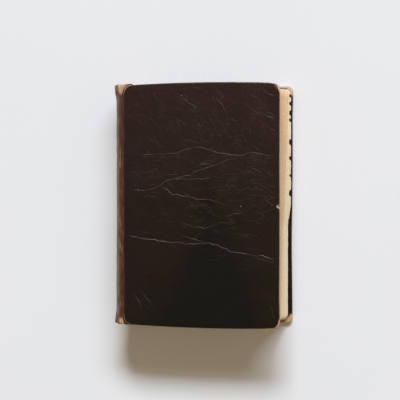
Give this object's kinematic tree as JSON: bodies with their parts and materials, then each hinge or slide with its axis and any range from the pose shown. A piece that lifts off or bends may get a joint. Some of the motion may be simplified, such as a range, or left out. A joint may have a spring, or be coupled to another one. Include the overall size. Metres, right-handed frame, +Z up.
{
  "type": "stamp album",
  "caption": "Old full-leather bound album with a rounded spine, grooved joints, opening covers and turning leaves, lying closed on its back cover.",
  "frame": {"origin": "under the middle of the closed album, on the surface it lies on", "axes": "+X from the spine to the fore-edge, +Y from tail to head, +Z up through the front cover"},
  "size_m": [0.1565, 0.21, 0.048],
  "materials": {
    "cover_leather": "polished, dark brown to near black, creased",
    "worn_leather": "rubbed red-brown, tan at the caps",
    "millboard": "matt grey-brown",
    "endpaper": "matt, foxed",
    "leaf_paper": "matt, yellowed at the edges",
    "kraft_paper": "matt",
    "gauze": "open weave, glued",
    "linen": "matt tape and thread",
    "silk": "wound thread, dull"
  },
  "bodies": {
    "text_block": {"spine_leather": "worn_leather", "spine_stiffener": "millboard", "spine_lining": "kraft_paper", "mull": "gauze", "sewing_tape_1": "linen", "sewing_tape_2": "linen", "sewing_tape_3": "linen", "sewing_tape_4": "linen", "headband": "silk", "tailband": "silk", "kettle_stitch_head": "linen", "kettle_stitch_tail": "linen", "section_01": "leaf_paper", "section_02": "leaf_paper", "section_03": "leaf_paper", "section_04": "leaf_paper", "section_05": "leaf_paper", "section_06": "leaf_paper", "section_07": "leaf_paper", "section_08": "leaf_paper", "section_09": "leaf_paper", "section_10": "leaf_paper", "section_11": "leaf_paper", "section_12": "leaf_paper", "guard_1": "linen", "guard_2": "linen", "guard_3": "linen", "guard_4": "linen", "guard_5": "linen", "lower_leaf_1": "leaf_paper", "lower_leaf_2": "leaf_paper", "back_free_endpaper": "endpaper"},
    "front_cover": {"front_board": "millboard", "front_cover_leather": "cover_leather", "front_joint_leather": "worn_leather", "front_pastedown": "endpaper", "front_tape_slip_1": "linen", "front_tape_slip_2": "linen", "front_tape_slip_3": "linen", "front_tape_slip_4": "linen"},
    "back_cover": {"back_board": "millboard", "back_cover_leather": "cover_leather", "back_joint_leather": "worn_leather", "back_pastedown": "endpaper", "back_tape_slip_1": "linen", "back_tape_slip_2": "linen", "back_tape_slip_3": "linen", "back_tape_slip_4": "linen"},
    "flyleaf": {"front_free_endpaper": "endpaper"},
    "leaf_1": {"album_leaf_1": "leaf_paper"},
    "leaf_2": {"album_leaf_2": "leaf_paper"},
    "leaf_3": {"album_leaf_3": "leaf_paper"},
    "leaf_4": {"album_leaf_4": "leaf_paper"}
  },
  "joints": [
    {"name": "front_cover_hinge", "type": "hinge", "parent": "text_block", "child": "front_cover", "pos_m": [-0.06755, 0, 0.0452], "axis": [0, -1, 0], "range_deg": [0, 172]},
    {"name": "back_cover_hinge", "type": "hinge", "parent": "text_block", "child": "back_cover", "pos_m": [-0.06455, 0, 0.0028], "axis": [0, 1, 0], "range_deg": [0, 172]},
    {"name": "flyleaf_turn", "type": "hinge", "parent": "text_block", "child": "flyleaf", "pos_m": [-0.06755, 0, 0.0452], "axis": [0, -1, 0], "range_deg": [0, 169.5]},
    {"name": "leaf_1_turn", "type": "hinge", "parent": "text_block", "child": "leaf_1", "pos_m": [-0.06755, 0, 0.0452], "axis": [0, -1, 0], "range_deg": [0, 163.5]},
    {"name": "leaf_2_turn", "type": "hinge", "parent": "text_block", "child": "leaf_2", "pos_m": [-0.06755, 0, 0.0452], "axis": [0, -1, 0], "range_deg": [0, 151.4]},
    {"name": "leaf_3_turn", "type": "hinge", "parent": "text_block", "child": "leaf_3", "pos_m": [-0.06755, 0, 0.0452], "axis": [0, -1, 0], "range_deg": [0, 123.9]},
    {"name": "leaf_4_turn", "type": "hinge", "parent": "text_block", "child": "leaf_4", "pos_m": [-0.06755, 0, 0.0452], "axis": [0, -1, 0], "range_deg": [0, 77.5]}
  ],
  "couplings": [
    {"joint": "flyleaf_turn", "follows": "front_cover_hinge", "ratio": 0.985},
    {"joint": "leaf_1_turn", "follows": "front_cover_hinge", "ratio": 0.95},
    {"joint": "leaf_2_turn", "follows": "front_cover_hinge", "ratio": 0.88},
    {"joint": "leaf_3_turn", "follows": "front_cover_hinge", "ratio": 0.72},
    {"joint": "leaf_4_turn", "follows": "front_cover_hinge", "ratio": 0.45}
  ]
}
